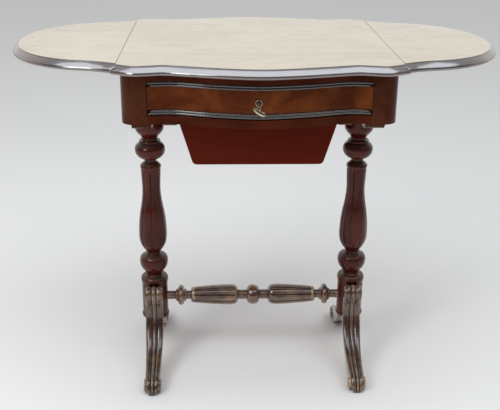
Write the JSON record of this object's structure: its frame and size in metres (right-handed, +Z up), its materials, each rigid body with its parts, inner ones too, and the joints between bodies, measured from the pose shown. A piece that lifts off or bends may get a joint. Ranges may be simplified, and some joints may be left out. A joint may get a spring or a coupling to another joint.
{
  "type": "sewing table",
  "caption": "Trestle sewing table: serpentine top with two drop leaves, locked drawer, sliding work well, fluted turned columns and stretcher, reeded scroll legs.",
  "frame": {"origin": "on the floor, under the middle of the table", "axes": "+Z up, +X to the right of a person seated at the drawer, so the drawer opens towards -Y"},
  "size_m": [0.976, 0.5754, 0.74],
  "materials": {
    "top_mahogany": "old polished varnish on red-brown mahogany, worn lighter along the moulded edge",
    "case_mahogany": "dark red-brown mahogany, glossy old varnish",
    "figured_field": "figured red-brown veneer, glossy varnish",
    "reeded_strip": "dark reeded mahogany, polished ridges",
    "turned_mahogany": "dark maroon turned mahogany, glossy varnish, worn to tan on ridges and toes",
    "well_panel": "matte maroon stained wood",
    "inner_wood": "unfinished secondary wood, aged",
    "hinge_brass": "dull aged brass",
    "key_brass": "pale worn brass",
    "screw_steel": "dull steel screws",
    "lock_steel": "dark iron"
  },
  "bodies": {
    "frame": {"bearer_left": "turned_mahogany", "bearer_right": "turned_mahogany", "bracket_pins": "lock_steel", "case_back": "case_mahogany", "case_side_left": "inner_wood", "case_side_right": "inner_wood", "column_left": "turned_mahogany", "column_right": "turned_mahogany", "corner_post_left": "case_mahogany", "corner_post_right": "case_mahogany", "drawer_kicker_left": "inner_wood", "drawer_kicker_right": "inner_wood", "drawer_runner_left": "inner_wood", "drawer_runner_right": "inner_wood", "dust_board": "inner_wood", "frame_screws": "screw_steel", "glue_blocks": "inner_wood", "hinge_flaps_fixed": "hinge_brass", "hinge_pins": "hinge_brass", "hinge_screws_fixed": "screw_steel", "leg_front_left": "turned_mahogany", "leg_front_right": "turned_mahogany", "leg_rear_left": "turned_mahogany", "leg_rear_right": "turned_mahogany", "rail_lower": "case_mahogany", "rail_upper": "case_mahogany", "side_rail_left": "case_mahogany", "side_rail_right": "case_mahogany", "stretcher": "turned_mahogany", "top_board_front": "top_mahogany", "top_board_rear": "top_mahogany", "well_runner_left": "inner_wood", "well_runner_right": "inner_wood"},
    "drawer": {"drawer_front": "figured_field", "drawer_strip_upper": "reeded_strip", "drawer_strip_lower": "reeded_strip", "drawer_side_left": "inner_wood", "drawer_side_right": "inner_wood", "drawer_back": "inner_wood", "drawer_bottom": "inner_wood", "drawer_partitions": "inner_wood", "lock_case": "lock_steel", "escutcheon": "key_brass"},
    "bolt": {"lock_bolt": "lock_steel"},
    "key": {"key": "key_brass"},
    "well": {"well_front": "well_panel", "well_back": "well_panel", "well_side_left": "well_panel", "well_side_right": "well_panel", "well_bottom": "well_panel", "well_rail_left": "inner_wood", "well_rail_right": "inner_wood"},
    "leaf_left": {"leaf_left": "top_mahogany", "hinge_flaps_left": "hinge_brass", "hinge_screws_left": "screw_steel"},
    "leaf_right": {"leaf_right": "top_mahogany", "hinge_flaps_right": "hinge_brass", "hinge_screws_right": "screw_steel"},
    "bracket_left": {"leaf_bracket_left": "case_mahogany"},
    "bracket_right": {"leaf_bracket_right": "case_mahogany"}
  },
  "joints": [
    {"name": "drawer_slide", "type": "slide", "parent": "frame", "child": "drawer", "axis": [0, -1, 0], "range_m": [0, 0.26]},
    {"name": "key_turn", "type": "hinge", "parent": "drawer", "child": "key", "pos_m": [-0.004, -0.252, 0.6725], "axis": [0, -0.9563, -0.2924], "range_deg": [0, 90]},
    {"name": "bolt_slide", "type": "slide", "parent": "drawer", "child": "bolt", "axis": [0, 0, 1], "range_m": [0, 0.006]},
    {"name": "well_slide", "type": "slide", "parent": "frame", "child": "well", "axis": [0, -1, 0], "range_m": [0, 0.22]},
    {"name": "leaf_left_hinge", "type": "hinge", "parent": "frame", "child": "leaf_left", "pos_m": [-0.261, 0, 0.722], "axis": [0, 1, 0], "range_deg": [-90, 0]},
    {"name": "leaf_right_hinge", "type": "hinge", "parent": "frame", "child": "leaf_right", "pos_m": [0.261, 0, 0.722], "axis": [0, -1, 0], "range_deg": [-90, 0]},
    {"name": "bracket_left_swing", "type": "hinge", "parent": "frame", "child": "bracket_left", "pos_m": [-0.249, 0.009, 0.686], "axis": [0, 0, -1], "range_deg": [0, 90]},
    {"name": "bracket_right_swing", "type": "hinge", "parent": "frame", "child": "bracket_right", "pos_m": [0.249, 0.009, 0.686], "axis": [0, 0, 1], "range_deg": [0, 90]}
  ],
  "couplings": [
    {"joint": "key_turn", "follows": "bolt_slide", "rad_per_m": 261.5}
  ]
}
